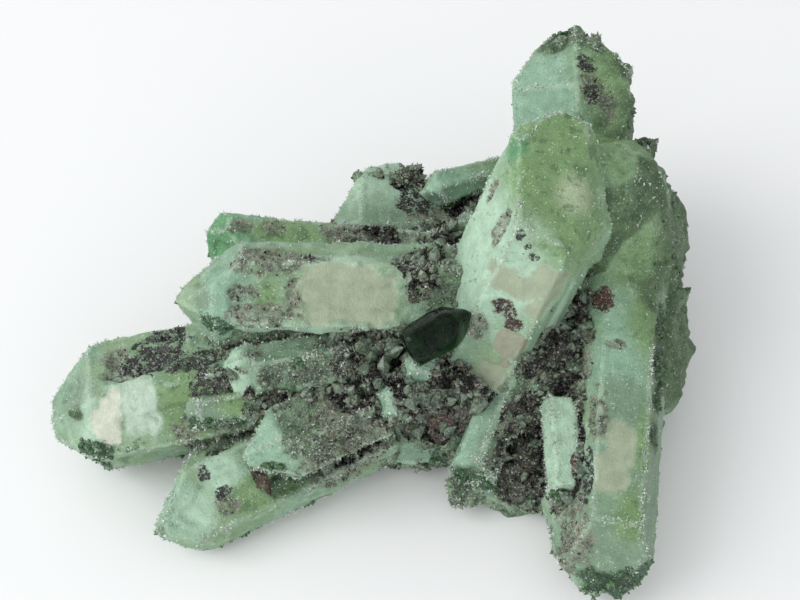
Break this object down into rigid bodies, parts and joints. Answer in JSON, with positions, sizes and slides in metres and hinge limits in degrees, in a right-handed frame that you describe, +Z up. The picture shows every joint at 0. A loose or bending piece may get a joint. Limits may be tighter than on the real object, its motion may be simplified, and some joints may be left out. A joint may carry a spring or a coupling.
{
  "type": "skeletal quartz cluster",
  "caption": "Cluster of stout green quartz crystals with sunken faces inside raised rims, crusted with small crystals, grown from one heart that rests on a flat broken underside.",
  "frame": {"origin": "on the flat broken underside, below the heart of the cluster", "axes": "+Z up, away from the flat underside; +X along the cluster's longest spread, from the long left-hand crystals towards the crusted flank; +Y away from the front, towards the tall rear crystal"},
  "size_m": [0.1903, 0.1581, 0.0892],
  "materials": {
    "frosted_green_quartz": "sugary frosted faces, pale mint to olive green, with smooth cream windows and black-brown speckled patches",
    "clear_green_quartz": "glassy, see-through deep bottle green",
    "fine_druse": "sparkling sub-millimetre crystals, white, green and black-brown"
  },
  "bodies": {
    "root": {"quartz_cluster": "frosted_green_quartz"}
  },
  "joints": []
}
